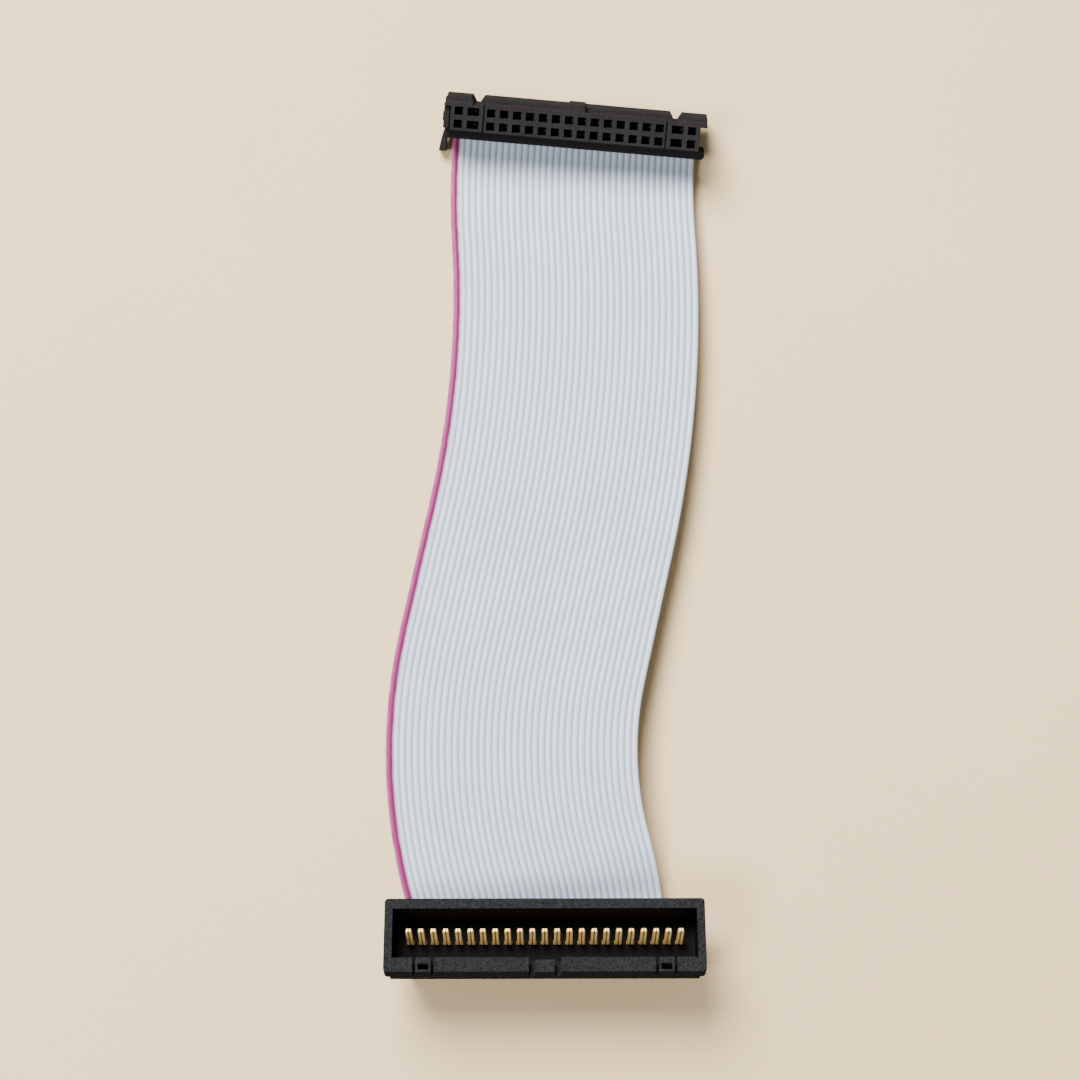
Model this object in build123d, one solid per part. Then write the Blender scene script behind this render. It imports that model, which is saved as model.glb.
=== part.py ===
"""A ribbed flat cable with a contact socket at one end and a shrouded pin plug at the other.

Lengths are millimetres and angles degrees. The cable lies along Y on the plane Z = 0, its
socket at +Y and its plug at -Y. Each connector is drawn in a frame of its own: X runs along the
row of contacts, Y points back into the connector, against the way the cable leaves it, Z points
out of the open face, and Z = 0 is the middle of the cable's thickness.
"""
import math
import os

from build123d import *

# Ribbon
conductor_count = 38
conductor_pitch = 1.27
ridge_thickness = 0.9
web_thickness = 0.36
end_past_middle = 2.3

# Route of the ribbon from the socket's middle to the plug's, as straight or curved spans.
# Each span is its length, how far it turns the cable up and how far it turns it towards +X.
route = [
    (4.6, 0, 0),
    (5.0, 28.5, 3.5),
    (13.5, -1.5, 5.5),
    (60.0, -4.5, -16.5),
    (25.0, 1.5, 0.5),
    (40.0, -8.0, 27.5),
    (7.3, -18.5, -4.0),
    (5.6, 43.0, -11.5),
    (5.2, 0, 0),
]

# Where the socket stands on the table
socket_middle = (7.1, 82.8, 4.45)
socket_turn = -5.2
socket_lean = 22.0

# Fits
fit_gap = 0.05
contact_gap = 0.02

# Socket housing
contact_pitch = 2 * conductor_pitch
middle_columns = 14
side_columns = 2
side_column_step = 1.5 * contact_pitch
row_offset = 1.27
window = 1.6
wide_window_extra = 0.65
socket_end_wall = 0.32
socket_front = 2.55
socket_back = 3.0
socket_face = 8.6
flange_back = 3.9
flange_height = 5.6
window_web = 1.6
trough_half = 2.2
notch_mouth = 2.3
notch_bottom = 0.75
notch_depth = 1.4
notch_place = 19.65
key_root = 4.0
key_tip = 3.3
key_rise = 0.55
key_drop = 0.3
seam_place = 17.9
seam_width = 0.35
seam_depth = 0.5
corner_chamfer = 0.4

# Socket contacts
contact_thickness = 0.3
contact_drop = 2.6
contact_slot = 1.0
contact_neck = 2.9
fork_top = 1.5
fork_root = 1.3
fork_tip = 0.3

# Socket cover and its latch arm
cover_depth = 3.1
cover_front = 4.2
end_wall_gap = 0.1
arm_slit = 0.25
arm_front = 2.3
arm_back = 1.9
arm_drop = 0.8
arm_gap = 0.2
recess_depth = 1.35
nub_rise = 0.2
nub_width = 1.8
nub_height = 1.2

# Strain relief bar across the ribbon in front of the socket
bar_thickness = 1.85
bar_height = 4.6
bar_nose = 0.85
bar_gap = 0.1
bar_left = 25.3
bar_right = 25.8
leg_width = 1.0
leg_thickness = 1.4
leg_length = 3.0
tongue_reach = 3.0
tongue_flare = 0.95
tongue_width = 1.4
tongue_bottom = -1.6
tongue_top = 1.0

# Plug housing
plug_offset = 1.2
rim_width = 13.9
rim_top = 14.5
rim_depth = 3.5
rim_radius = 0.7
key_wall = 2.7
back_wall = 1.9
end_wall = 1.5
cavity_end_gap = 2.95
shroud_wall = 1.05
shroud_end_wall = 0.8
floor_top = 5.5
floor_thickness = 2.0
pin_place = 1.2
block_end_wall = 0.4
block_behind_pins = 4.0
plug_end_wall = 0.4
chamber_margin = 0.87
chamber_width = 1.8
floor_dip = 0.6
floor_dip_inset = 1.25
pocket_place = 22.4
pocket_block = 2.85
pocket_slot = 0.55
pocket_window = 2.0
pocket_window_width = 1.15
pocket_depth = 2.9
outer_skin = 0.4
tab_width = 3.6
tab_slot = 1.15
tab_drop = 0.35
tab_setback = 0.35

# Plug contacts
pin_count = 23
pin_pitch = 2.3
pin_width = 1.15
pin_thickness = 0.6
pin_height = 8.5
pin_point = 0.8
pin_point_width = 0.7
pin_groove = 0.3
pin_groove_depth = 0.15
foot_width = 1.5
foot_height = 0.9
strip_width = 0.6
jog_top = 3.1
jog_bottom = 1.9

# Plug cover
plug_cover_depth = 3.5
plug_arm_thickness = 1.0
plug_arm_width = 3.0
plug_arm_rise = 2.6

# Sizes that follow
ribbon_width = conductor_count * conductor_pitch
ridge = ridge_thickness / 2
web = web_thickness / 2
housing_base = web + fit_gap
bar_base = ridge + fit_gap
fork_half = conductor_pitch / 2 - fit_gap
field_half = (middle_columns - 1) / 2 * contact_pitch
face_end = ribbon_width / 2 + socket_end_wall + recess_depth
plug_floor = floor_top - floor_thickness
cavity_front = -rim_width / 2 + key_wall
cavity_back = rim_width / 2 - back_wall
pin_row_half = (pin_count - 1) / 2 * pin_pitch
cavity_half = pin_row_half + cavity_end_gap
rim_length = 2 * (cavity_half + end_wall)
chamber_half = max(pin_row_half, ribbon_width / 2 + plug_offset) + chamber_margin
block_half = chamber_half + block_end_wall
floor_dip_half = cavity_half - floor_dip_inset
rim_bottom = rim_top - rim_depth
plug_wall_back = -end_past_middle - end_wall_gap
block_front = plug_wall_back - plug_end_wall
block_back = pin_place + block_behind_pins


def block(x, y, z):
    """Returns a box between two limits on each axis."""
    size = [span[1] - span[0] for span in (x, y, z)]
    return Pos(x[0], y[0], z[0]) * Box(*size, align=Align.MIN)


def both_ends(shape):
    """Returns a shape at the +X end together with its mirror image at the -X end."""
    return [shape, mirror(shape, about=Plane.YZ)]


def upright(points, thickness):
    """Returns a plate of the given thickness whose outline is drawn in X and Z."""
    face = Plane.XZ * make_face(Polyline(*points, close=True))
    return extrude(face, thickness / 2, both=True)


def ridges(gap=0.0, shift=0.0):
    """Returns the line over the ribbon's ridges, left to right, lifted by a gap."""
    left = shift - ribbon_width / 2
    points = []
    for index in range(conductor_count):
        start = left + index * conductor_pitch
        points += [(start, web + gap), (start + conductor_pitch / 2, ridge + gap)]
    return points + [(left + ribbon_width, web + gap)]


def ribbon_section(plane):
    """Returns the ribbed section: X across the cable, one ridge per conductor, flat below."""
    edge = ribbon_width / 2
    outline = Polyline(*ridges(), (edge, -ridge), (-edge, -ridge), close=True)
    return (plane * make_face(outline)).face()


def follow(plane, length, lift, swing):
    """Sweeps the section along one span and returns its solid and the plane at its end."""
    section = ribbon_section(plane)
    angle = math.hypot(lift, swing)
    if angle == 0:
        return Solid.extrude(section, plane.z_dir * length), plane.offset(length)
    turn = (plane.y_dir * swing - plane.x_dir * lift) / angle
    radius = length / math.radians(angle)
    axis = Axis(plane.origin + turn.cross(plane.z_dir) * radius, turn)
    about_origin = Axis((0, 0, 0), turn)
    end = Plane(
        Vertex(*plane.origin).rotate(axis, angle).center(),
        x_dir=plane.x_dir.rotate(about_origin, angle),
        z_dir=plane.z_dir.rotate(about_origin, angle),
    )
    return Solid.revolve(section, angle, axis), end


def ribbon_and_plug_frame(socket_frame):
    """Lays the ribbon out from the socket, and returns it and the frame at its other end."""
    spans = [list(span) for span in route]
    spans[0][0] += end_past_middle
    spans[-1][0] += end_past_middle
    seat = socket_frame.origin + socket_frame.y_dir * end_past_middle
    plane = Plane(seat, x_dir=socket_frame.x_dir, z_dir=-socket_frame.y_dir)
    first = ribbon_section(plane)
    walls = []
    for length, lift, swing in spans:
        if lift or swing:
            radius = length / math.radians(math.hypot(lift, swing))
            print(f"span {length:5.1f} long, radius {radius:6.1f}")
        span, plane = follow(plane, length, lift, swing)
        walls += span.faces().sort_by(lambda face: abs(face.area - first.area))[2:]
    ribbon = Solid(Shell([first, *walls, ribbon_section(plane)]))
    print(f"ribbon volume {ribbon.volume:.2f}, section times length "
          f"{first.area * sum(span[0] for span in spans):.2f}")
    middle = plane.origin - plane.z_dir * end_past_middle + plane.x_dir * plug_offset
    return ribbon, Plane(middle, x_dir=plane.x_dir, z_dir=plane.y_dir)


def column_places():
    """Returns the X of every column of socket contacts, left to right."""
    middle = [-field_half + index * contact_pitch for index in range(middle_columns)]
    right = [field_half + side_column_step + index * contact_pitch for index in range(side_columns)]
    return [-place for place in reversed(right)] + middle + right


def window_sketch():
    """Returns the windows of both rows; the column beside each seam is wider towards it."""
    beside_seam = field_half + side_column_step
    places = Sketch()
    for x in column_places():
        extra = wide_window_extra if abs(abs(x) - beside_seam) < contact_pitch / 2 else 0
        inward = math.copysign(extra / 2, x)
        for y in (row_offset, -row_offset):
            places += Pos(x - inward, y) * Rectangle(window + extra, window)
    return places


def socket_housing():
    """The moulded body: a flange on the key side, two rows of windows and a key ridge."""
    outline = Polyline(
        (-socket_front, housing_base), (flange_back, housing_base),
        (flange_back, flange_height), (socket_back, flange_height),
        (socket_back, socket_face), (-socket_front, socket_face), close=True)
    body = extrude(Plane.YZ * make_face(outline), face_end, both=True)
    body = chamfer(body.edges().filter_by(Axis.Z), corner_chamfer)
    key_top = flange_back + key_rise
    key = make_face(Polyline(
        (-key_root / 2, 0), (key_root / 2, 0), (key_tip / 2, key_top), (-key_tip / 2, key_top),
        close=True))
    body += Pos(0, 0, housing_base) * extrude(key, socket_face - key_drop - housing_base)
    notch = make_face(Polyline(
        (notch_place - notch_mouth / 2, flange_back), (notch_place - notch_bottom / 2,
                                                       flange_back - notch_depth),
        (notch_place + notch_bottom / 2, flange_back - notch_depth),
        (notch_place + notch_mouth / 2, flange_back), close=True))
    body -= both_ends(extrude(notch, socket_face))
    trough = (-ribbon_width / 2, ribbon_width / 2)
    body -= block(trough, (-trough_half, trough_half), (0, window_web))
    body -= comb(-socket_front, flange_back)
    body -= extrude(window_sketch(), socket_face)
    body -= both_ends(block(
        (seam_place - seam_width / 2, seam_place + seam_width / 2), (-socket_front, socket_back),
        (socket_face - seam_depth, socket_face)))
    body -= both_ends(block(
        (face_end - recess_depth, face_end), (-socket_front, arm_back + arm_gap),
        (0, socket_face)))
    return body


def socket_contact(fork_side):
    """One stamping: two arms in the window and a fork over the conductor at fork_side."""
    half = window / 2 - contact_gap
    top = socket_face - contact_drop
    fork = fork_side * conductor_pitch / 2
    return upright([
        (-half, top), (-half, fork_top), (fork - fork_half, fork_tip), (fork, fork_root),
        (fork + fork_half, fork_tip), (half, fork_top), (half, top),
        (contact_slot / 2, top), (contact_slot / 2, contact_neck),
        (-contact_slot / 2, contact_neck), (-contact_slot / 2, top),
    ], contact_thickness)


def contact_row(row):
    """The stampings of one row of windows; the two rows reach neighbouring conductors."""
    stamping = socket_contact(-row)
    return Compound([Pos(x, row * row_offset) * stamping for x in column_places()])


def clamp(half, bed_shift, depth):
    """The end view of a cover: a bed under the ribbon between two cheeks."""
    bed = ribbon_width / 2 + fit_gap
    cheek = housing_base - fit_gap
    floor = -ridge - fit_gap
    return Plane.XZ * make_face(Polyline(
        (-half, -depth), (-half, cheek), (bed_shift - bed, cheek), (bed_shift - bed, floor),
        (bed_shift + bed, floor), (bed_shift + bed, cheek), (half, cheek), (half, -depth),
        close=True))


def comb(front, back, shift=0.0):
    """The space over the ribbon's ridges, cut out of what sits on them from front to back."""
    edge = ribbon_width / 2
    outline = Polyline((shift - edge, 0), *ridges(fit_gap, shift), (shift + edge, 0), close=True)
    return Pos(0, front) * extrude(Plane.XZ * make_face(outline), front - back)


def socket_cover():
    """The clamp under the ribbon, with its end wall, V-notches and a latch arm at the left."""
    top = housing_base - fit_gap
    body = Pos(0, -cover_front) * extrude(clamp(face_end, 0, cover_depth), -cover_front - flange_back)
    wall_front = end_past_middle + end_wall_gap
    body += block((-face_end, face_end), (wall_front, flange_back), (-cover_depth, top))
    recess = face_end - recess_depth
    nub_top = socket_face - arm_drop
    arm = block((-face_end, -recess - arm_slit), (-arm_front, arm_back),
                (-cover_depth / 2, nub_top))
    nub = upright([(-face_end, nub_top), (-face_end, nub_top - nub_height),
                   (-face_end - nub_rise, nub_top - nub_height / 2)], nub_width)
    body += [arm, nub]
    notch = make_face(Polyline(
        (notch_place - notch_mouth / 2, flange_back), (notch_place - notch_bottom / 2,
                                                       flange_back - notch_depth),
        (notch_place + notch_bottom / 2, flange_back - notch_depth),
        (notch_place + notch_mouth / 2, flange_back), close=True))
    body -= both_ends(Pos(0, 0, -cover_depth) * extrude(notch, cover_depth + top))
    leg_back = -socket_front - bar_gap + fit_gap
    body -= both_ends(block((face_end - leg_width - fit_gap, face_end),
                            (-cover_front, leg_back), (-cover_depth, top)))
    return body - block((recess, face_end), (leg_back, arm_back + arm_gap), (-cover_depth, top))


def socket_strain_relief():
    """The dark bar over the ribbon, with a leg at each end and a tongue at the left."""
    back = -socket_front - bar_gap
    front = back - bar_thickness
    body = block((-bar_left, bar_right), (front, back), (bar_base, bar_base + bar_height))
    nose = body.edges().filter_by(Axis.X).group_by(Axis.Z)[-1].sort_by(Axis.Y)[0]
    right_end = body.edges().filter_by(Axis.Z).group_by(Axis.X)[-1]
    body = fillet([nose, *right_end], min(bar_nose, bar_thickness / 2 - fit_gap))
    leg = block((face_end - leg_width, face_end), (back - leg_thickness, back),
                (-leg_length, bar_base + leg_thickness))
    body += both_ends(leg)
    tip = face_end + tongue_flare
    tongue = make_face(Polyline(
        (-bar_left, back), (-face_end, back), (-face_end - tongue_flare / 2, front),
        (-tip, front - tongue_reach), (tongue_width - tip, front - tongue_reach),
        (-bar_left, front), close=True))
    return body + Pos(0, 0, tongue_bottom) * extrude(tongue, tongue_top - tongue_bottom)


def pin_places():
    """Returns the X of every plug pin, left to right."""
    return [(index - (pin_count - 1) / 2) * pin_pitch for index in range(pin_count)]


def conductor_under(index):
    """Returns the X of the conductor that a pin reaches, spread evenly over the ribbon."""
    conductor = round(index * (conductor_count - 1) / (pin_count - 1))
    return (conductor + 0.5) * conductor_pitch - ribbon_width / 2 - plug_offset


def plug_housing():
    """The shroud: a pebbled rim, a deep open cavity, a pin floor and a block on the ribbon."""
    body = Pos(0, 0, rim_bottom) * extrude(
        RectangleRounded(rim_length, rim_width, rim_radius), rim_depth)
    shroud_end = cavity_half + shroud_end_wall
    body += block((-shroud_end, shroud_end), (cavity_front - shroud_wall, cavity_back + shroud_wall),
                  (plug_floor, rim_bottom))
    body += block((-block_half, block_half), (block_front, block_back),
                  (housing_base, plug_floor))
    body -= block((-cavity_half, cavity_half), (cavity_front, cavity_back), (floor_top, rim_top))
    body -= block((-floor_dip_half, floor_dip_half), (cavity_front, cavity_back),
                  (floor_top - floor_dip, floor_top))
    body -= Pos(0, pin_place) * block(
        (-chamber_half, chamber_half), (-chamber_width / 2, chamber_width / 2),
        (0, plug_floor))
    body -= comb(block_front, block_back, -plug_offset)
    hole = Rectangle(strip_width + 2 * contact_gap, contact_thickness + 2 * contact_gap)
    holes = Sketch() + [Pos(x, pin_place) * hole for x in pin_places()]
    body -= extrude(holes, floor_top)
    return body - latch_pockets() - centre_tab_cuts()


def latch_pockets():
    """The two latch pockets in the thick wall: a slot each side of a block with a window."""
    rim_front = -rim_width / 2
    skin = rim_front + outer_skin
    left = pocket_place - pocket_block / 2
    right = pocket_place + pocket_block / 2
    deep = (rim_top - pocket_depth, rim_top)
    cuts = [
        block((left - pocket_slot, left), (rim_front, cavity_front), deep),
        block((right, right + pocket_slot), (rim_front, cavity_front), deep),
        block((pocket_place - pocket_window / 2, pocket_place + pocket_window / 2),
              (skin, skin + pocket_window_width), deep),
    ]
    return [end for cut in cuts for end in both_ends(cut)]


def centre_tab_cuts():
    """The cuts round the centre tab: a slot each side, and its lower, set-back top."""
    rim_front = -rim_width / 2
    tab = tab_width / 2
    deep = (rim_top - pocket_depth, rim_top)
    slot = block((tab, tab + tab_slot), (rim_front, cavity_front), deep)
    return both_ends(slot) + [
        block((-tab, tab), (cavity_front - tab_setback, cavity_front), deep),
        block((-tab, tab), (rim_front, cavity_front), (rim_top - tab_drop, rim_top)),
    ]


def plug_contact(x, reach):
    """One grooved pin with a flared foot; under the floor a strip jogs to its conductor."""
    seat = floor_top - floor_dip
    top = seat + pin_height
    right = [(foot_width / 2, seat), (pin_width / 2, seat + foot_height),
             (pin_width / 2, top - pin_point), (pin_point_width / 2, top)]
    blade = upright(right + [(-across, z) for across, z in reversed(right)], pin_thickness)
    front = -pin_thickness / 2
    groove = make_face(Polyline(
        (-pin_groove / 2, front), (pin_groove / 2, front), (0, front + pin_groove_depth),
        close=True))
    blade -= Pos(0, 0, seat) * extrude(groove, pin_height)
    half = strip_width / 2
    strip = upright([
        (-half, seat), (-half, jog_top), (reach - half, jog_bottom), (reach - fork_half, fork_tip),
        (reach, fork_root), (reach + fork_half, fork_tip), (reach + half, jog_bottom),
        (half, jog_top), (half, seat),
    ], contact_thickness)
    return Pos(x, pin_place) * (blade + strip)


def plug_cover():
    """The clamp under the ribbon at the plug, with a latch arm at each end."""
    half = block_half
    section = clamp(half, -plug_offset, plug_cover_depth)
    body = Pos(0, block_front) * extrude(section, block_front - block_back)
    top = housing_base - fit_gap
    body += block((-half, half), (block_front, plug_wall_back), (-plug_cover_depth, top))
    arm = block((half + fit_gap, half + fit_gap + plug_arm_thickness),
                (pin_place - plug_arm_width / 2, pin_place + plug_arm_width / 2),
                (-plug_cover_depth, plug_arm_rise))
    root = block((half, half + fit_gap), (pin_place - plug_arm_width / 2, pin_place + plug_arm_width / 2),
                 (-plug_cover_depth, top))
    return body + both_ends(arm + root)


def build():
    """Returns every piece by the name of its node, standing on Z = 0 about the middle."""
    stand = Location(socket_middle) * Rot(0, 0, socket_turn) * Rot(socket_lean, 0, 0)
    socket_frame = Plane(stand)
    ribbon, plug_frame = ribbon_and_plug_frame(socket_frame)
    pieces = {
        "ribbon": ribbon,
        "socket_housing": socket_frame * socket_housing(),
        "socket_cover": socket_frame * socket_cover(),
        "socket_strain_relief": socket_frame * socket_strain_relief(),
        "socket_contacts_upper": socket_frame * contact_row(1),
        "socket_contacts_lower": socket_frame * contact_row(-1),
        "plug_housing": plug_frame * plug_housing(),
        "plug_cover": plug_frame * plug_cover(),
    }
    for index, x in enumerate(pin_places()):
        contact = plug_contact(x, conductor_under(index) - x)
        pieces[f"plug_contact_{index + 1:02d}"] = plug_frame * contact
    box = Compound(list(pieces.values())).bounding_box()
    to_origin = Pos(-box.center().X, -box.center().Y, -box.min.Z)
    return {name: to_origin * piece for name, piece in pieces.items()}


os.makedirs("parts", exist_ok=True)
for node, piece in build().items():
    export_step(piece, f"parts/{node}.step")
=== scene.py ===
"""A grey ribbed ribbon cable with a black contact socket at one end and a pinned plug at the other.

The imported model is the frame. Its contacts stay and get their metal, the moulded parts are
rounded copies of their own solids, and the ribbon is swept again with round ribs. Sizes are
millimetres and degrees unless a docstring says otherwise, and become metres where a mesh is made.
"""

import logging
import math
from dataclasses import dataclass, replace
from enum import Enum

import bmesh
import bpy
from mathutils import Matrix, Vector

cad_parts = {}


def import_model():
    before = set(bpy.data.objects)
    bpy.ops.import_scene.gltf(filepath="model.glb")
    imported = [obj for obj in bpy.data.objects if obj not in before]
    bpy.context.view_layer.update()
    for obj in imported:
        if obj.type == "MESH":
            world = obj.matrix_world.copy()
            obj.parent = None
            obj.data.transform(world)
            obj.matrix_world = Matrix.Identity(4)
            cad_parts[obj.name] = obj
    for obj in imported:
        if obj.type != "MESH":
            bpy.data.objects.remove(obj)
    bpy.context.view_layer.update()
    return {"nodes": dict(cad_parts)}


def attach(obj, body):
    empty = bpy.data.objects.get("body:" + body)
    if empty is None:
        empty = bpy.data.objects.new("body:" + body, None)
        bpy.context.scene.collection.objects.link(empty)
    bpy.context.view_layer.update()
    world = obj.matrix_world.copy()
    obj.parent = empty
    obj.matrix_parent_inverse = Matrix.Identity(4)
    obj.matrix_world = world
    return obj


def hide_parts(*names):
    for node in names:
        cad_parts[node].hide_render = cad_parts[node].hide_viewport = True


log = logging.getLogger("ribbon_cable")

MM = 0.001
WHITE = (1.0, 1.0, 1.0)
Colour = tuple[float, float, float]
Place = tuple[float, float, float]


class Slot(Enum):
    """The record's material slots."""

    RIBBON = "ribbon_grey"
    SOCKET = "socket_black"
    BAR = "bar_black"
    PLUG = "plug_black"
    PIN = "pin_gold"
    CONTACT = "contact_metal"


class Pattern(Enum):
    """What a bump or colour pattern follows on a piece."""

    OBJECT = "Object"
    UV = "UV"


class Graph:
    """A material with one glossy shader, and short ways to add and join nodes."""

    def __init__(self, name: str) -> None:
        """Makes the material and its shader.

        Args:
            name: The material's name.
        """
        self.material = bpy.data.materials.new(name)
        self.material.use_nodes = True
        self.tree = self.material.node_tree
        self.tree.nodes.clear()
        self.shader = self.tree.nodes.new("ShaderNodeBsdfPrincipled")
        output = self.tree.nodes.new("ShaderNodeOutputMaterial")
        self.link(self.shader.outputs["BSDF"], output.inputs["Surface"])

    def link(self, source: bpy.types.NodeSocket, target: bpy.types.NodeSocket) -> None:
        """Joins an output to an input."""
        self.tree.links.new(source, target)

    def drive(self, source: bpy.types.NodeSocket, *names: str) -> None:
        """Joins an output to sockets of the shader."""
        for name in names:
            self.link(source, self.shader.inputs[name])

    def surface(self, colour: Colour, roughness: float, **sockets: float) -> None:
        """Sets constant values on the shader.

        Args:
            colour: The base colour, linear.
            roughness: How matt the surface is.
            sockets: Other sockets by name, with _ for each space.
        """
        self.shader.inputs["Base Color"].default_value = (*colour, 1)
        self.shader.inputs["Roughness"].default_value = roughness
        for name, value in sockets.items():
            self.shader.inputs[name.replace("_", " ")].default_value = value

    def place(self, pattern: Pattern, stretch: Place = (1, 1, 1)) -> bpy.types.NodeSocket:
        """Returns the coordinates that a pattern reads.

        Args:
            pattern: Object coordinates or the piece's own map.
            stretch: The scale on each axis.

        Returns:
            The socket that carries the coordinates.
        """
        coordinates = self.tree.nodes.new("ShaderNodeTexCoord")
        mapping = self.tree.nodes.new("ShaderNodeMapping")
        mapping.inputs["Scale"].default_value = stretch
        self.link(coordinates.outputs[pattern.value], mapping.inputs["Vector"])
        return mapping.outputs["Vector"]

    def across(self, place: bpy.types.NodeSocket) -> bpy.types.NodeSocket:
        """Returns the first of a place's coordinates.

        Args:
            place: The coordinates to read.

        Returns:
            The value's socket.
        """
        node = self.tree.nodes.new("ShaderNodeSeparateXYZ")
        self.link(place, node.inputs["Vector"])
        return node.outputs["X"]

    def noise(self, place: bpy.types.NodeSocket, scale: float, detail: float = 3,
              roughness: float = 0.5) -> bpy.types.NodeSocket:
        """Returns a cloudy value between 0 and 1.

        Args:
            place: The coordinates to read.
            scale: Waves per unit of those coordinates.
            detail: How many finer layers are added.
            roughness: How strong the finer layers are.

        Returns:
            The value's socket.
        """
        node = self.tree.nodes.new("ShaderNodeTexNoise")
        node.inputs["Scale"].default_value = scale
        node.inputs["Detail"].default_value = detail
        node.inputs["Roughness"].default_value = roughness
        self.link(place, node.inputs["Vector"])
        return node.outputs["Fac"]

    def cells(self, place: bpy.types.NodeSocket, scale: float) -> bpy.types.NodeSocket:
        """Returns the distance to the nearest cell's middle, for a pebbled skin.

        Args:
            place: The coordinates to read.
            scale: Cells per unit of those coordinates.

        Returns:
            The value's socket.
        """
        node = self.tree.nodes.new("ShaderNodeTexVoronoi")
        node.feature = "SMOOTH_F1"
        node.inputs["Scale"].default_value = scale
        node.inputs["Smoothness"].default_value = 0.6
        self.link(place, node.inputs["Vector"])
        return node.outputs["Distance"]

    def ramp(self, value: bpy.types.NodeSocket,
             stops: list[tuple[float, Colour]]) -> bpy.types.NodeSocket:
        """Returns a colour that changes with a value.

        Args:
            value: The socket that drives it.
            stops: Places from 0 to 1 and the colours there.

        Returns:
            The colour's socket.
        """
        node = self.tree.nodes.new("ShaderNodeValToRGB")
        elements = node.color_ramp.elements
        while len(elements) < len(stops):
            elements.new(0.5)
        for element, (position, colour) in zip(elements, stops):
            element.position = position
            element.color = (*colour, 1)
        self.link(value, node.inputs["Fac"])
        return node.outputs["Color"]

    def span(self, value: bpy.types.NodeSocket, low: float, high: float) -> bpy.types.NodeSocket:
        """Returns a value that runs from low to high while another runs from 0 to 1.

        Args:
            value: The other value.
            low: What 0 becomes.
            high: What 1 becomes.

        Returns:
            The new value's socket.
        """
        node = self.tree.nodes.new("ShaderNodeMapRange")
        node.inputs["To Min"].default_value = low
        node.inputs["To Max"].default_value = high
        self.link(value, node.inputs["Value"])
        return node.outputs["Result"]

    def math(self, operation: str, first: bpy.types.NodeSocket,
             second: bpy.types.NodeSocket | float) -> bpy.types.NodeSocket:
        """Returns the result of a sum on two values.

        Args:
            operation: The sum's name in Blender.
            first: The first value.
            second: The second value, or a number.

        Returns:
            The result's socket.
        """
        node = self.tree.nodes.new("ShaderNodeMath")
        node.operation = operation
        self.link(first, node.inputs[0])
        if isinstance(second, (int, float)):
            node.inputs[1].default_value = second
        else:
            self.link(second, node.inputs[1])
        return node.outputs["Value"]

    def multiply(self, colour: bpy.types.NodeSocket,
                 shade: bpy.types.NodeSocket) -> bpy.types.NodeSocket:
        """Returns a colour darkened by a shade.

        Args:
            colour: The colour.
            shade: The shade, where white changes nothing.

        Returns:
            The darkened colour's socket.
        """
        node = self.tree.nodes.new("ShaderNodeMix")
        node.data_type = "RGBA"
        node.blend_type = "MULTIPLY"
        factor, first, second = (node.inputs[index] for index in (0, 6, 7))
        factor.default_value = 1
        self.link(colour, first)
        self.link(shade, second)
        return node.outputs[2]

    def bump(self, height: bpy.types.NodeSocket, depth: float, strength: float) -> None:
        """Adds relief to the shader, over any relief that it has.

        Args:
            height: A value from 0 to 1.
            depth: The height of 1, in millimetres.
            strength: How much of it shows.
        """
        node = self.tree.nodes.new("ShaderNodeBump")
        node.inputs["Strength"].default_value = strength
        node.inputs["Distance"].default_value = depth * MM
        self.link(height, node.inputs["Height"])
        normal = self.shader.inputs["Normal"]
        if normal.is_linked:
            self.link(normal.links[0].from_socket, node.inputs["Normal"])
        self.link(node.outputs["Normal"], normal)


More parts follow.
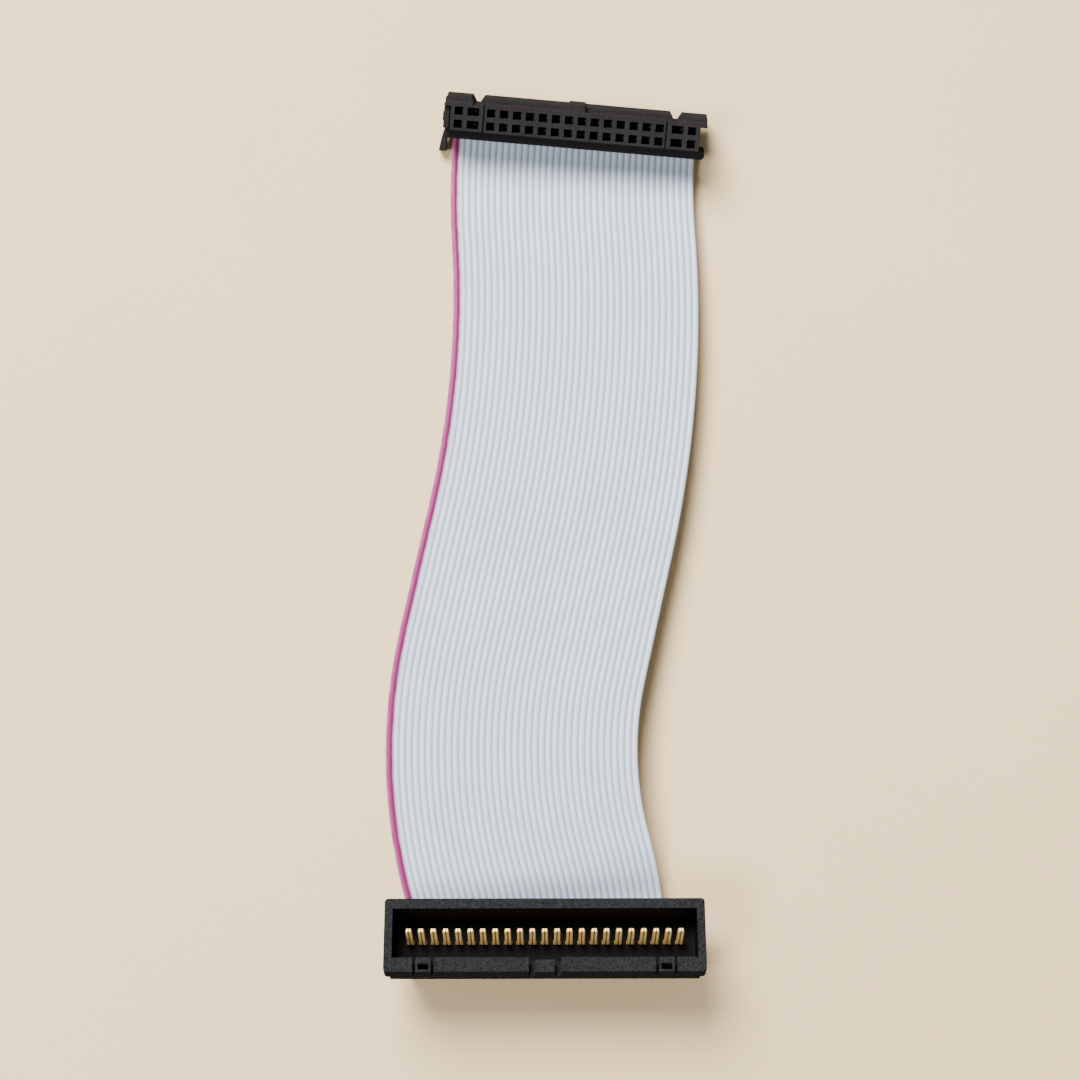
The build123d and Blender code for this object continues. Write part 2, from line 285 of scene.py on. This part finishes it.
@dataclass(frozen=True)
class RibbonVinyl:
    """Satin grey insulation with a pink stripe printed on the first conductor.

    The stripe is pale at both edges, and its places are counted in conductors from the
    ribbon's edge.
    """

    name: str = "ribbon vinyl"
    conductors: int = 38
    grey: Colour = (0.57, 0.655, 0.775)
    # web: painted shade for the grooves between the conductors
    web: Colour = (0.5, 0.54, 0.59)
    cloud: Colour = (0.94, 0.94, 0.945)
    stripe: Colour = (0.25, 0.018, 0.125)
    stripe_edge: Colour = (0.56, 0.32, 0.48)
    stripe_start: float = 0.1
    stripe_full: float = 0.18
    stripe_end: float = 0.95
    stripe_faded: float = 1.064
    bleed_end: float = 1.3
    bleed_faded: float = 1.495
    wander: float = 0.004
    roughness: float = 0.42
    roughness_range: float = 0.08
    shine: float = 0.25
    mark_depth: float = 0.012

    def printed(self, graph: Graph) -> bpy.types.NodeSocket:
        """Prints the stripe on the grey, with edges that wander a little.

        Args:
            graph: The material.

        Returns:
            The colour's socket.
        """
        waves = graph.noise(graph.place(Pattern.UV, (0, 60, 1)), 1, 2)
        across = graph.math("ADD", graph.across(graph.place(Pattern.UV)),
                            graph.span(waves, -self.wander, self.wander))
        stops = [(0, self.stripe_edge), (self.stripe_start, self.stripe_edge),
                 (self.stripe_full, self.stripe), (self.stripe_end, self.stripe),
                 (self.stripe_faded, self.stripe_edge), (self.bleed_end, self.stripe_edge),
                 (self.bleed_faded, self.grey), (self.conductors, self.grey)]
        return graph.ramp(across, [(place / self.conductors, colour) for place, colour in stops])

    def painted_groove_shade(self, graph: Graph) -> bpy.types.NodeSocket:
        """Darkens the thin webs between the conductors with painted shade, as if the grooves lay in
        shadow.

        Args:
            graph: The material.

        Returns:
            The shade's socket.
        """
        count = graph.math("MULTIPLY", graph.across(graph.place(Pattern.UV)), self.conductors)
        from_web = graph.math("PINGPONG", count, 0.5)
        return graph.ramp(from_web, [(0, self.web), (0.08, self.web), (0.24, WHITE)])

    def material(self) -> bpy.types.Material:
        """Makes the finish.

        Returns:
            The material.
        """
        graph = Graph(self.name)
        graph.surface(self.grey, self.roughness, Specular_IOR_Level=self.shine)
        # the printed colour darkened by the painted shade in the grooves
        print_with_groove_shade = graph.multiply(self.printed(graph), self.painted_groove_shade(graph))
        clouds = graph.noise(graph.place(Pattern.OBJECT), 90, 2)
        shade = graph.ramp(clouds, [(0.3, self.cloud), (0.7, WHITE)])
        graph.drive(graph.multiply(print_with_groove_shade, shade), "Base Color")
        marks = graph.noise(graph.place(Pattern.UV, (900, 40, 1)), 1, 3, 0.6)
        graph.drive(graph.span(marks, self.roughness - self.roughness_range,
                               self.roughness + self.roughness_range), "Roughness")
        graph.bump(marks, self.mark_depth, 0.6)
        return graph.material


@dataclass(frozen=True)
class MouldedBlack:
    """Glass-filled black plastic: fine grain, with a pebbled skin where the mould was etched."""

    name: str
    colour: Colour
    roughness: float = 0.45
    shine: float = 0.0
    grain: float = 0.015
    grain_size: float = 0.12
    speckle: float = 0.15
    speckle_size: float = 0.45
    patch: Colour = (0.85, 0.85, 0.85)
    patch_size: float = 6.0
    pebble: float = 0.0
    pebble_size: float = 0.55

    def speckled(self, graph: Graph, place: bpy.types.NodeSocket) -> bpy.types.NodeSocket:
        """Scatters darker and paler grains over the plastic, and broad darker patches.

        Args:
            graph: The material.
            place: The coordinates to read.

        Returns:
            The colour's socket.
        """
        dark = tuple((1 - self.speckle) * part for part in self.colour)
        pale = tuple((1 + 1.5 * self.speckle) * part for part in self.colour)
        grains = graph.noise(place, 1 / (self.speckle_size * MM), 3, 0.7)
        patches = graph.noise(place, 1 / (self.patch_size * MM), 3)
        return graph.multiply(graph.ramp(grains, [(0.38, dark), (0.62, pale)]),
                              graph.ramp(patches, [(0.3, self.patch), (0.7, WHITE)]))

    def material(self) -> bpy.types.Material:
        """Makes the finish.

        Returns:
            The material.
        """
        graph = Graph(self.name)
        graph.surface(self.colour, self.roughness, Specular_IOR_Level=self.shine)
        place = graph.place(Pattern.OBJECT)
        graph.drive(self.speckled(graph, place), "Base Color")
        fine = graph.noise(place, 1 / (self.grain_size * MM), 4, 0.65)
        graph.drive(graph.span(fine, self.roughness - 0.08, self.roughness + 0.1), "Roughness")
        graph.bump(fine, self.grain, 0.7)
        if self.pebble:
            graph.bump(graph.cells(place, 1 / (self.pebble_size * MM)), self.pebble, 0.8)
        return graph.material


@dataclass(frozen=True)
class PlatedMetal:
    """Plated metal with darker patches and faint drawing marks."""

    name: str
    colour: Colour
    shade: Colour
    roughness: float
    metallic: float
    patch_size: float = 1.2
    mark_size: float = 0.06
    mark_depth: float = 0.004

    def draw(self) -> tuple[Graph, bpy.types.NodeSocket]:
        """Starts the finish with its marks.

        Returns:
            The material so far, and the socket of its patchy colour.
        """
        graph = Graph(self.name)
        graph.surface(self.colour, self.roughness, Metallic=self.metallic)
        patches = graph.noise(graph.place(Pattern.OBJECT), 1 / (self.patch_size * MM), 3)
        lengthwise = graph.place(Pattern.OBJECT, (1, 0.15, 0.15))
        marks = graph.noise(lengthwise, 1 / (self.mark_size * MM), 2)
        graph.drive(graph.span(marks, self.roughness - 0.06, self.roughness + 0.1), "Roughness")
        graph.bump(marks, self.mark_depth, 0.5)
        return graph, graph.ramp(patches, [(0.35, self.shade), (0.6, self.colour)])

    def material(self) -> bpy.types.Material:
        """Makes the finish.

        Returns:
            The material.
        """
        graph, plating = self.draw()
        graph.drive(plating, "Base Color")
        return graph.material


@dataclass(frozen=True)
class PaintedShadeGold(PlatedMetal):
    """Gold plating on pins folded from strip, with painted shade down the middle of each and along
    its two edges.
    """

    # painted shade down the middle of each pin
    centre_shade: Colour = (0.3, 0.19, 0.08)
    # painted shade along each pin's two edges
    edge: Colour = (0.55, 0.4, 0.24)
    # painted glow: the strength of the light the pins emit themselves
    painted_glow: float = 0.16
    middle_pin: float = -0.94
    pitch: float = 2.3

    def painted_pin_shade(self, graph: Graph) -> bpy.types.NodeSocket:
        """Darkens a line down each pin's middle and its two edges: painted shade, as on a rounded
        pin that turns from the light.

        Args:
            graph: The material.

        Returns:
            The shade's socket.
        """
        from_middle = graph.math("SUBTRACT", graph.across(graph.place(Pattern.OBJECT)),
                                 self.middle_pin * MM)
        count = graph.math("MULTIPLY", from_middle, 1 / (self.pitch * MM))
        from_centre_line = graph.math("PINGPONG", count, 0.5)
        return graph.ramp(from_centre_line, [(0.04, self.centre_shade), (0.09, WHITE), (0.19, WHITE),
                                      (0.25, self.edge)])

    def material(self) -> bpy.types.Material:
        """Makes the finish, with a faint painted glow: the gold emits light of its own colour,
        standing in for light that reaches the pins deep in the plug.

        Returns:
            The material.
        """
        graph, plating = self.draw()
        # the painted shade darkens both the gold and its painted glow
        graph.drive(graph.multiply(plating, self.painted_pin_shade(graph)), "Base Color", "Emission Color")
        # painted glow: the pins emit a little light of their own
        graph.shader.inputs["Emission Strength"].default_value = self.painted_glow
        return graph.material


@dataclass(frozen=True)
class TableTop:
    """Smooth pale laminate, without a pattern."""

    name: str = "pale table"
    colour: Colour = (0.76, 0.58, 0.33)
    cloud: float = 0.97
    grain_size: float = 0.8
    grain: float = 0.01

    def material(self) -> bpy.types.Material:
        """Makes the finish.

        Returns:
            The material.
        """
        graph = Graph(self.name)
        graph.surface(self.colour, 0.6, Specular_IOR_Level=0.3)
        darker = tuple(self.cloud * part for part in self.colour)
        clouds = graph.noise(graph.place(Pattern.OBJECT), 14, 2)
        graph.drive(graph.ramp(clouds, [(0.3, darker), (0.7, self.colour)]), "Base Color")
        fine = graph.noise(graph.place(Pattern.OBJECT), 1 / (self.grain_size * MM), 2)
        graph.bump(fine, self.grain, 0.3)
        return graph.material


@dataclass(frozen=True)
class Seat:
    """A frame on the cable: a middle, and axes along a connector, to its back and out of it."""

    middle: Vector
    along: Vector
    back: Vector
    out: Vector

    @classmethod
    def leaning(cls, middle: Place, turn: float, lean: float) -> "Seat":
        """Returns the frame of a connector that stands turned on the table and leans.

        Args:
            middle: Where it stands.
            turn: How far it is turned on the table, anticlockwise.
            lean: How far its face leans to its front.

        Returns:
            The frame.
        """
        stand = (Matrix.Rotation(math.radians(turn), 3, "Z")
                 @ Matrix.Rotation(math.radians(lean), 3, "X"))
        return cls(Vector(middle), *(column.copy() for column in stand.col))

    def at(self, x: float, y: float, z: float) -> Vector:
        """Returns the point at given places along the three axes."""
        return self.middle + x * self.along + y * self.back + z * self.out

    def moved(self, x: float, y: float, z: float) -> "Seat":
        """Returns the frame at another point, with its axes as they are."""
        return replace(self, middle=self.at(x, y, z))

    def read(self, point: Vector) -> Place:
        """Returns a mesh point's places along the three axes."""
        reach = point / MM - self.middle
        return tuple(reach.dot(axis) for axis in (self.along, self.back, self.out))


@dataclass(frozen=True)
class Hollow:
    """A box-shaped hollow in a moulding, whose walls get a darker finish of their own: painted
    shade.
    """

    seat: Seat
    half_length: float
    front: float
    back: float
    bottom: float
    top: float

    def holds(self, point: Vector) -> bool:
        """Tells whether a mesh point lies in the hollow."""
        x, y, z = self.seat.read(point)
        return (abs(x) < self.half_length and self.front < y < self.back
                and self.bottom < z < self.top)


def add_piece(name: str, bm: bmesh.types.BMesh, material: bpy.types.Material, slot: Slot,
              *nodes: str) -> bpy.types.Object:
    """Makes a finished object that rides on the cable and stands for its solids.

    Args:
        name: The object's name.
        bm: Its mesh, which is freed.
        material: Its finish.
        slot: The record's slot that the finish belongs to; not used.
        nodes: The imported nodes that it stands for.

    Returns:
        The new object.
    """
    mesh = bpy.data.meshes.new(name)
    bm.to_mesh(mesh)
    bm.free()
    mesh.materials.append(material)
    piece = bpy.data.objects.new(name, mesh)
    bpy.context.scene.collection.objects.link(piece)
    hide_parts(*nodes)
    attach(piece, "root")
    log.info("%s: %d faces, stands for %s", name, len(mesh.polygons), ", ".join(nodes))
    return piece


def coat(node: bpy.types.Object, material: bpy.types.Material) -> None:
    """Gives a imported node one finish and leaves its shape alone.

    Args:
        node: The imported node.
        material: Its finish.
    """
    node.data.materials.clear()
    node.data.materials.append(material)
    log.info("%s keeps its solid, in %s", node.name, material.name)


@dataclass(frozen=True)
class Span:
    """One stretch of the ribbon: its length, and how far it turns it up and towards +X."""

    length: float
    lift: float
    swing: float

    @property
    def angle(self) -> float:
        """How far the stretch turns the ribbon in all, in radians."""
        return math.radians(math.hypot(self.lift, self.swing))

    def hinge(self, start: Seat) -> tuple[Vector, Vector]:
        """Returns what a curved stretch turns about.

        Args:
            start: The frame at its near end.

        Returns:
            The centre and the axis.
        """
        axis = (start.out * self.swing - start.along * self.lift).normalized()
        return start.middle - axis.cross(start.back) * (self.length / self.angle), axis

    def beyond(self, start: Seat) -> Seat:
        """Returns the frame at the stretch's far end.

        Args:
            start: The frame at its near end.

        Returns:
            The frame at its far end.
        """
        if not self.angle:
            return start.moved(0, -self.length, 0)
        centre, axis = self.hinge(start)
        turn = Matrix.Rotation(self.angle, 3, axis)
        return Seat(centre + turn @ (start.middle - centre), turn @ start.along,
                    turn @ start.back, turn @ start.out)

    def sweep(self, bm: bmesh.types.BMesh, ring: list[bmesh.types.BMEdge], start: Seat,
              steps: int) -> list[bmesh.types.BMEdge]:
        """Carries the open ring of edges one step along the stretch.

        Args:
            bm: The mesh.
            ring: The ring at the mesh's open end.
            start: The frame at the stretch's near end.
            steps: How many steps the whole stretch has.

        Returns:
            The ring at the new open end.
        """
        if self.angle:
            centre, axis = self.hinge(start)
            grown = bmesh.ops.spin(
                bm, geom=ring + corners(ring), cent=MM * centre, axis=axis, dvec=(0, 0, 0),
                angle=self.angle / steps, steps=1, use_merge=False,
                use_duplicate=False)["geom_last"]
        else:
            grown = bmesh.ops.extrude_edge_only(bm, edges=ring)["geom"]
            moving = [part for part in grown if isinstance(part, bmesh.types.BMVert)]
            bmesh.ops.translate(bm, vec=-start.back * (MM * self.length / steps), verts=moving)
        return [part for part in grown if isinstance(part, bmesh.types.BMEdge)]


def corners(ring: list[bmesh.types.BMEdge]) -> list[bmesh.types.BMVert]:
    """Returns the points of a ring of edges, each once."""
    return list(dict.fromkeys(vert for edge in ring for vert in edge.verts))


@dataclass
class Ribbon:
    """The ribbed flat cable, swept from the socket to the plug."""

    socket_seat: Seat
    finish: RibbonVinyl = RibbonVinyl()
    pitch: float = 1.27
    conductors: int = 38
    ridge: float = 0.45
    web: float = 0.18
    steps_per_rib: int = 6
    steps_below: int = 4
    roundness: float = 1.3
    step_length: float = 1.4
    end_past_middle: float = 2.3
    plug_offset: float = 1.2
    route: tuple[Span, ...] = (
        Span(4.6, 0, 0), Span(5.0, 28.5, 3.5), Span(13.5, -1.5, 5.5), Span(60.0, -4.5, -16.5),
        Span(25.0, 1.5, 0.5), Span(40.0, -8.0, 27.5), Span(7.3, -18.5, -4.0),
        Span(5.6, 43.0, -11.5), Span(5.2, 0, 0))

    @property
    def spans(self) -> list[Span]:
        """The route's stretches, with the first and the last reaching into the connectors."""
        first, *others, last = self.route
        return [replace(first, length=first.length + self.end_past_middle), *others,
                replace(last, length=last.length + self.end_past_middle)]

    @property
    def start(self) -> Seat:
        """The frame at the end in the socket."""
        return self.socket_seat.moved(0, self.end_past_middle, 0)

    def plug_seat(self) -> Seat:
        """Returns the frame of the plug at the far end.

        Returns:
            The frame.
        """
        seat = self.start
        for span in self.spans:
            seat = span.beyond(seat)
        return seat.moved(self.plug_offset, self.end_past_middle, 0)

    def profile(self, steps: int) -> list[tuple[float, float]]:
        """Returns the places across the cable and the heights of its round ribs.

        Args:
            steps: Points on each rib.

        Returns:
            Pairs of place and height, left to right.
        """
        half = self.conductors * self.pitch / 2
        pairs = []
        for index in range(self.conductors * steps + 1):
            across = index / steps
            swell = abs(math.sin(math.pi * across)) ** self.roundness
            pairs.append((across * self.pitch - half, self.web + (self.ridge - self.web) * swell))
        return pairs

    def draw_section(self, bm: bmesh.types.BMesh,
                     across: bmesh.types.BMLayerItem) -> list[bmesh.types.BMEdge]:
        """Draws the ribbed section at the end in the socket.

        Args:
            bm: The mesh.
            across: The layer that gets each point's place across, from 0 to 1.

        Returns:
            The closed ring of edges.
        """
        top = self.profile(self.steps_per_rib)
        under = [(x, -height) for x, height in reversed(self.profile(self.steps_below))]
        verts = []
        for x, height in top + under:
            vert = bm.verts.new(MM * self.start.at(x, 0, height))
            vert[across] = x / (self.conductors * self.pitch) + 0.5
            verts.append(vert)
        return [bm.edges.new(pair) for pair in zip(verts, verts[1:] + verts[:1])]

    def build(self) -> bpy.types.Object:
        """Sweeps the section along the route and dresses it.

        Returns:
            The dressed ribbon.
        """
        bm = bmesh.new()
        across, along = (bm.verts.layers.float.new(name) for name in ("across", "along"))
        first = ring = self.draw_section(bm, across)
        total = sum(span.length for span in self.spans)
        gone = 0.0
        seat = self.start
        for span in self.spans:
            steps = max(1, round(span.length / self.step_length)) if span.angle else 1
            for _ in range(steps):
                ring = span.sweep(bm, ring, seat, steps)
                gone += span.length / steps
                for vert in corners(ring):
                    vert[along] = gone / total
            seat = span.beyond(seat)
        for end in (first, ring):
            bmesh.ops.contextual_create(bm, geom=end)
        bmesh.ops.recalc_face_normals(bm, faces=bm.faces)
        self.lay_map(bm, across, along)
        for face in bm.faces:
            face.smooth = len(face.verts) == 4
        log.info("ribbon: %.1f mm long", total)
        return add_piece("ribbon_insulation", bm, self.finish.material(), Slot.RIBBON, "ribbon")

    @staticmethod
    def lay_map(bm: bmesh.types.BMesh, across: bmesh.types.BMLayerItem,
                along: bmesh.types.BMLayerItem) -> None:
        """Gives the ribbon a map whose U runs across it and V along it.

        Args:
            bm: The swept mesh.
            across: The layer that holds each point's place across, from 0 to 1.
            along: The layer that holds each point's place along, from 0 to 1.
        """
        lay = bm.loops.layers.uv.new("lay")
        for face in bm.faces:
            for loop in face.loops:
                loop[lay].uv = (loop.vert[across], loop.vert[along])


@dataclass
class Moulding:
    """A moulded part: its own solid with the sharp corners rounded."""

    node: str
    finish: MouldedBlack
    slot: Slot
    radius: float = 0.1
    segments: int = 2
    sharp: float = 30.0
    same_point: float = 0.002
    flat: float = 2.0
    hollow: Hollow | None = None
    painted_shade_lining: MouldedBlack | None = None

    def round_corners(self, bm: bmesh.types.BMesh) -> None:
        """Joins the solid's triangles into its flat faces and rounds the corners between them.

        Args:
            bm: A copy of the solid's mesh.
        """
        bmesh.ops.remove_doubles(bm, verts=bm.verts, dist=self.same_point * MM)
        bmesh.ops.dissolve_limit(bm, angle_limit=math.radians(self.flat),
                                 use_dissolve_boundaries=False, verts=bm.verts, edges=bm.edges)
        bmesh.ops.connect_verts_concave(bm, faces=bm.faces)
        sharp = [edge for edge in bm.edges
                 if edge.is_manifold and edge.calc_face_angle(0) > math.radians(self.sharp)]
        bmesh.ops.bevel(bm, geom=sharp, offset=self.radius * MM, offset_type="OFFSET",
                        segments=self.segments, profile=0.5, affect="EDGES", clamp_overlap=True,
                        material=-1)

    def build(self, nodes: dict[str, bpy.types.Object]) -> bpy.types.Object:
        """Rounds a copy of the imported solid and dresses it.

        Args:
            nodes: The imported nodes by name.

        Returns:
            The rounded part.
        """
        bm = bmesh.new()
        bm.from_mesh(nodes[self.node].data)
        self.round_corners(bm)
        for face in bm.faces:
            face.smooth = False
            if self.hollow and self.hollow.holds(face.calc_center_median()):
                # faces in the hollow take the darker lining, painted shade inside the cavity
                face.material_index = 1
        piece = add_piece(f"{self.node}_moulding", bm, self.finish.material(), self.slot, self.node)
        if self.painted_shade_lining:
            piece.data.materials.append(self.painted_shade_lining.material())
        return piece


@dataclass
class Socket:
    """The contact socket: housing, cover, strain relief and two rows of stampings."""

    middle: Place = (5.26457, 80.02915, 4.44762)
    turn: float = -5.2
    lean: float = 22.0
    bar_radius: float = 0.2
    face: MouldedBlack = MouldedBlack("socket plastic", (0.021, 0.0196, 0.0203), roughness=0.6)
    bar: MouldedBlack = MouldedBlack("bar plastic", (0.019, 0.0175, 0.0184), roughness=0.6)
    # plated brass coloured near black: painted shade for the contacts deep in their windows
    shaded_plating: PlatedMetal = PlatedMetal("contact plating painted shade", (0.02, 0.014, 0.008),
                                     (0.01, 0.007, 0.004), roughness=0.6, metallic=0.2)

    @property
    def seat(self) -> Seat:
        """The socket's own frame."""
        return Seat.leaning(self.middle, self.turn, self.lean)

    def build(self, nodes: dict[str, bpy.types.Object]) -> None:
        """Rounds the moulded parts and plates the contacts.

        Args:
            nodes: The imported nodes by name.
        """
        Moulding("socket_housing", self.face, Slot.SOCKET).build(nodes)
        Moulding("socket_cover", self.bar, Slot.SOCKET).build(nodes)
        Moulding("socket_strain_relief", self.bar, Slot.BAR, self.bar_radius, 3).build(nodes)
        plating = self.shaded_plating.material()
        for row in ("upper", "lower"):
            coat(nodes[f"socket_contacts_{row}"], plating)


@dataclass
class Plug:
    """The shrouded plug: housing, cover and a row of gold pins."""

    seat: Seat
    pins: int = 23
    shroud_radius: float = 0.12
    cavity_half: float = 28.6
    cavity_front: float = -4.65
    cavity_back: float = 5.4
    cavity_floor: float = 4.5
    cavity_mouth: float = 14.3
    shroud: MouldedBlack = MouldedBlack("plug plastic", (0.0145, 0.0155, 0.0168), roughness=0.5,
                                        grain=0.03, speckle=0.36, pebble=0.08)
    # smooth near-black plastic for the cavity walls: painted shade in the hollow
    painted_shade_lining: MouldedBlack = MouldedBlack("cavity plastic painted shade", (0.004, 0.0036, 0.0036), roughness=0.6,
                                        shine=0.05, grain=0.005)
    cover: MouldedBlack = MouldedBlack("plug cover plastic", (0.008, 0.008, 0.009), shine=0.1)
    gold: PaintedShadeGold = PaintedShadeGold("pin gold", (1.0, 0.76, 0.3), (1.0, 0.69, 0.24),
                                  roughness=0.36, metallic=0.08)

    @property
    def cavity(self) -> Hollow:
        """The open space round the pins."""
        return Hollow(self.seat, self.cavity_half, self.cavity_front, self.cavity_back,
                      self.cavity_floor, self.cavity_mouth)

    def build(self, nodes: dict[str, bpy.types.Object]) -> None:
        """Rounds the moulded parts and plates the pins.

        Args:
            nodes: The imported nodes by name.
        """
        Moulding("plug_housing", self.shroud, Slot.PLUG, self.shroud_radius, hollow=self.cavity,
                 painted_shade_lining=self.painted_shade_lining).build(nodes)
        Moulding("plug_cover", self.cover, Slot.PLUG).build(nodes)
        plating = self.gold.material()
        for number in range(1, self.pins + 1):
            coat(nodes[f"plug_contact_{number:02d}"], plating)


@dataclass
class Studio:
    """The table, the soft lights and the camera; the table and the lamps are in metres."""

    table: TableTop = TableTop()
    table_size: float = 3.0
    table_drop: float = 0.02 * MM
    sky: Colour = (0.9, 0.93, 1.0)
    sky_strength: float = 0.27
    lamp_colour: Colour = (1.0, 0.97, 0.93)
    key_power: float = 80.0
    key_place: Place = (-0.45, 0.85, 1.25)
    key_size: float = 0.95
    fill_power: float = 10.0
    fill_place: Place = (-0.55, -0.34, 1.0)
    fill_size: float = 0.4
    camera_place: Place = (-1.835, -59.971, 466.0)
    camera_lean: float = 7.0
    lens: float = 79.7
    sensor_width: float = 36.0
    nearest: float = 10.0

    def build_table(self) -> None:
        """Lays the table just under the cable."""
        bm = bmesh.new()
        bmesh.ops.create_grid(bm, x_segments=8, y_segments=8, size=self.table_size / 2)
        bmesh.ops.translate(bm, vec=(0, 0, -self.table_drop), verts=bm.verts)
        mesh = bpy.data.meshes.new("table")
        bm.to_mesh(mesh)
        bm.free()
        mesh.materials.append(self.table.material())
        table = bpy.data.objects.new("table", mesh)
        bpy.context.scene.collection.objects.link(table)

    def build_lights(self) -> None:
        """Hangs a wide lamp behind the cable and a weak one to its left, in a pale room."""
        self.hang_lamp("key", self.key_power, self.key_size, self.key_place)
        self.hang_lamp("fill", self.fill_power, self.fill_size, self.fill_place)
        world = bpy.data.worlds.new("room")
        world.use_nodes = True
        background = world.node_tree.nodes["Background"]
        background.inputs["Color"].default_value = (*self.sky, 1)
        background.inputs["Strength"].default_value = self.sky_strength
        bpy.context.scene.world = world

    def hang_lamp(self, name: str, power: float, size: float, place: Place) -> None:
        """Hangs a round soft lamp that points at the cable.

        Args:
            name: The lamp's name.
            power: Its power in watts.
            size: How wide it is.
            place: Where it hangs.
        """
        lamp = bpy.data.lights.new(name, "AREA")
        lamp.shape = "DISK"
        lamp.size = size
        lamp.energy = power
        lamp.color = self.lamp_colour
        hung = bpy.data.objects.new(name, lamp)
        hung.location = place
        hung.rotation_euler = (-Vector(place)).to_track_quat("-Z", "Y").to_euler()
        bpy.context.scene.collection.objects.link(hung)

    def build_camera(self) -> None:
        """Stands the camera at the viewing angle of the photograph."""
        lens = bpy.data.cameras.new("camera")
        lens.lens = self.lens
        lens.sensor_width = self.sensor_width
        lens.clip_start = self.nearest * MM
        camera = bpy.data.objects.new("camera", lens)
        camera.location = MM * Vector(self.camera_place)
        camera.rotation_euler = (math.radians(self.camera_lean), 0, 0)
        bpy.context.scene.collection.objects.link(camera)
        bpy.context.scene.camera = camera

    def build(self) -> None:
        """Sets up the whole studio."""
        self.build_camera()
        self.build_lights()
        self.build_table()


def main() -> None:
    """Builds the cable in order."""
    logging.basicConfig(level=logging.INFO, format="%(message)s")
    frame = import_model()
    nodes = frame["nodes"]
    Studio().build()
    socket = Socket()
    ribbon = Ribbon(socket.seat)
    ribbon.build()
    socket.build(nodes)
    Plug(ribbon.plug_seat()).build(nodes)


if __name__ == "__main__":
    main()
